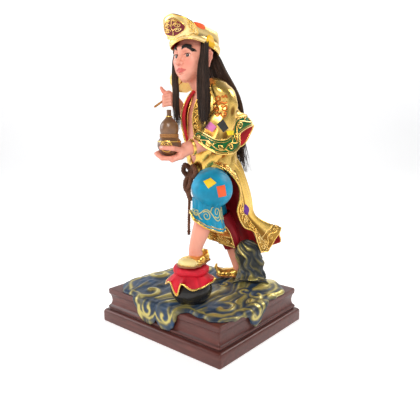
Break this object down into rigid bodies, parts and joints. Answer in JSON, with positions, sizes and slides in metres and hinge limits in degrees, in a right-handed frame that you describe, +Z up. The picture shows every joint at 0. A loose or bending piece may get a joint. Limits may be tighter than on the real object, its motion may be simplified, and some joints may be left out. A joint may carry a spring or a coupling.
{
  "type": "jigong statue",
  "caption": "Painted and gilded figurine of a monk in a folded hat striding over waves, one foot on a wine jar, holding a gourd and a palm-leaf fan, on a moulded wooden plinth.",
  "frame": {"origin": "middle of the plinth's underside", "axes": "+Z up, the figure faces -Y, its own left is +X"},
  "size_m": [0.21, 0.18, 0.3992],
  "materials": {
    "plinth_wood": "reddish-brown stained and varnished",
    "wave_paint": "dark blue paint with gilded crests on cast resin",
    "jar_cloth": "red painted cloth cover with gold trim over a black glazed belly",
    "gilt_robe": "gold paint with painted patches on cast resin",
    "skin_paint": "satin flesh paint",
    "trouser_paint": "turquoise paint with painted square patches",
    "girdle_cord": "brown painted cord",
    "gourd_shell": "brown satin paint",
    "fan_leaf": "pale straw paint",
    "gilt_hat": "gold paint with painted patches",
    "hair_fibre": "straight black fibre"
  },
  "bodies": {
    "root": {"plinth": "plinth_wood", "wave_ground": "wave_paint", "wine_jar": "jar_cloth", "figure": "gilt_robe", "gourd": "gourd_shell", "palm_leaf_fan": "fan_leaf", "hat": "gilt_hat", "back_hair": "hair_fibre", "left_front_lock": "hair_fibre", "right_front_lock": "hair_fibre"}
  },
  "joints": []
}
